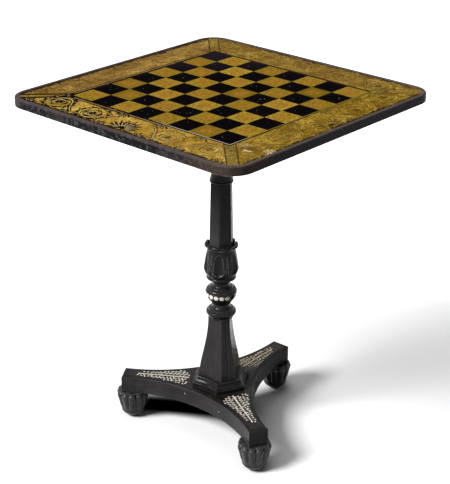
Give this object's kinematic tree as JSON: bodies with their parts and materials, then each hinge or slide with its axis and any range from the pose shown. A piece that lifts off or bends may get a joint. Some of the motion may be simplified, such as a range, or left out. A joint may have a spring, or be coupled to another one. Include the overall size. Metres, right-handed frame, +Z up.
{
  "type": "chess table",
  "caption": "Tilt-top chess table: square inlaid board with a dark rounded edging, carved ebonised pillar, inlaid three-legged platform and lobed feet.",
  "frame": {"origin": "on the floor, on the axis of the pillar and under the middle of the top", "axes": "+Z up along the pillar; the sides of the top lie along X and Y; the top tilts about a line along +X and its catch is on the +Y side"},
  "size_m": [0.5856, 0.5856, 0.733],
  "materials": {
    "ebonised_wood": "black stain under a satin polish, worn at the arrises",
    "panel_ebony": "dark brown ebony, polished, inlaid with white scrolls",
    "edging_wood": "dark grey-brown, mottled, worn pale along the upper arris",
    "ground_wood": "plain dark red-brown wood, unpolished",
    "border_inlay": "worn olive gold with scroll ornament, satin",
    "light_inlay": "mottled golden olive, satin",
    "dark_inlay": "black, glossy, with pale specks",
    "line_inlay": "pale straw line, satin",
    "bone": "polished bone",
    "brass": "old lacquered brass, dull",
    "iron": "dark forged iron"
  },
  "bodies": {
    "base": {"tilt_block": "ground_wood", "pivot_pins": "iron", "strike_plate": "brass", "strike_screws": "brass", "tenon_wedges": "ground_wood", "capital": "ebonised_wood", "neck_ring": "ebonised_wood", "upper_shaft": "ebonised_wood", "tulip_collar": "ebonised_wood", "bone_knop": "ebonised_wood", "bone_studs": "bone", "base_ring": "ebonised_wood", "lower_shaft": "ebonised_wood", "plinth_moulding": "ebonised_wood", "plinth_slab": "ebonised_wood", "platform": "ebonised_wood", "leg_panel_back": "panel_ebony", "leg_panel_left": "panel_ebony", "leg_panel_front": "panel_ebony", "foot_back": "ebonised_wood", "foot_left": "ebonised_wood", "foot_front": "ebonised_wood", "tie_bolt": "iron", "tie_washer": "iron"},
    "top": {"top_board": "ground_wood", "edging_right": "edging_wood", "edging_back": "edging_wood", "edging_left": "edging_wood", "edging_front": "edging_wood", "border_right": "border_inlay", "border_back": "border_inlay", "border_left": "border_inlay", "border_front": "border_inlay", "dark_squares": "dark_inlay", "light_squares": "light_inlay", "light_line": "line_inlay", "dark_line": "dark_inlay", "mitre_bands": "border_inlay", "mitre_lines": "dark_inlay", "bearer_left": "ground_wood", "bearer_right": "ground_wood", "bearer_screws": "iron", "catch_case": "brass", "catch_screws": "brass"},
    "catch": {"catch_bolt": "brass", "catch_knob": "brass"}
  },
  "joints": [
    {"name": "top_tilt", "type": "hinge", "parent": "base", "child": "top", "pos_m": [0, -0.073, 0.6985], "axis": [1, 0, 0], "range_deg": [0, 90]},
    {"name": "catch_slide", "type": "slide", "parent": "top", "child": "catch", "axis": [0, -1, 0], "range_m": [0, 0.009]}
  ]
}
